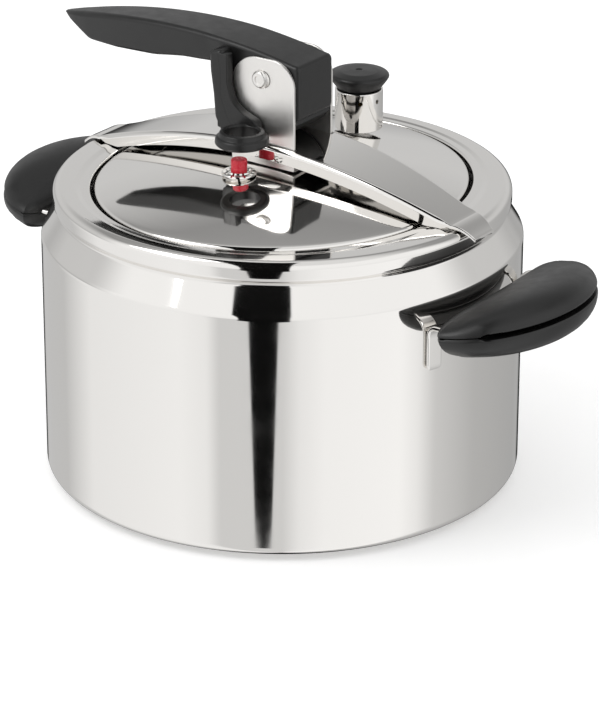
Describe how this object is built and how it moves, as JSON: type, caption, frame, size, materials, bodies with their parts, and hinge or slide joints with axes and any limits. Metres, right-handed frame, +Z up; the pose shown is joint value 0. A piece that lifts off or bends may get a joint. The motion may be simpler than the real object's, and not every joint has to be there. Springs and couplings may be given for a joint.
{
  "type": "pressure cooker",
  "caption": "Polished steel stovetop pressure cooker: drawn pot, oval lid drawn up under a bridge by a cam lever with a lock ring, red pressure pin, weighted steam valve, black side handles",
  "frame": {"origin": "centre of the underside of the base, in the plane the pot stands on", "axes": "+X along the bridge towards the right side handle, the lever points to -X; +Y across the bridge towards the steam valve; +Z up"},
  "size_m": [0.3183, 0.224, 0.2092],
  "materials": {
    "polished_steel": "mirror-polished stainless steel",
    "aluminium": "plain pressed disc, enclosed",
    "brass": "turned",
    "black_bakelite": "moulded thermoset, satin gloss",
    "black_rubber": "moulded silicone rubber, matt",
    "red_plastic": "moulded, glossy"
  },
  "bodies": {
    "pot": {"pot_body": "polished_steel", "base_core": "aluminium", "base_cap": "polished_steel", "bridge": "polished_steel", "right_handle_upper": "black_bakelite", "right_handle_lower": "black_bakelite", "right_handle_strap": "polished_steel", "right_handle_screw_front": "polished_steel", "right_handle_screw_rear": "polished_steel", "left_handle_upper": "black_bakelite", "left_handle_lower": "black_bakelite", "left_handle_strap": "polished_steel", "left_handle_screw_front": "polished_steel", "left_handle_screw_rear": "polished_steel"},
    "lid": {"lid_plate": "polished_steel", "lid_gasket": "black_rubber", "lever_bracket": "polished_steel", "bracket_rivet_left": "polished_steel", "bracket_rivet_right": "polished_steel", "pivot_screw": "polished_steel", "pivot_nut": "polished_steel", "indicator_seat": "polished_steel", "indicator_washer": "black_rubber", "indicator_nut": "polished_steel", "valve_stem": "polished_steel", "valve_washer": "black_rubber", "valve_nut": "polished_steel"},
    "lever": {"lever_handle": "black_bakelite", "pivot_bush": "polished_steel"},
    "indicator": {"indicator_pin": "red_plastic", "indicator_clip": "polished_steel"},
    "valve_cap": {"valve_sleeve": "polished_steel", "valve_weight": "brass", "valve_knob": "black_bakelite"}
  },
  "joints": [
    {"name": "lid_drop", "type": "slide", "parent": "pot", "child": "lid", "axis": [0, 0, -1], "range_m": [0, 0.008]},
    {"name": "lever_turn", "type": "hinge", "parent": "lid", "child": "lever", "pos_m": [0, 0, 0.1945], "axis": [0, 1, 0], "range_deg": [0, 90]},
    {"name": "indicator_rise", "type": "slide", "parent": "lid", "child": "indicator", "axis": [0, 0, 1], "range_m": [0, 0.01]},
    {"name": "valve_cap_lift", "type": "slide", "parent": "lid", "child": "valve_cap", "axis": [0, 0, 1], "range_m": [0, 0.005]}
  ],
  "couplings": [
    {"joint": "lid_drop", "follows": "lever_turn", "m_per_rad": 0.00509}
  ]
}
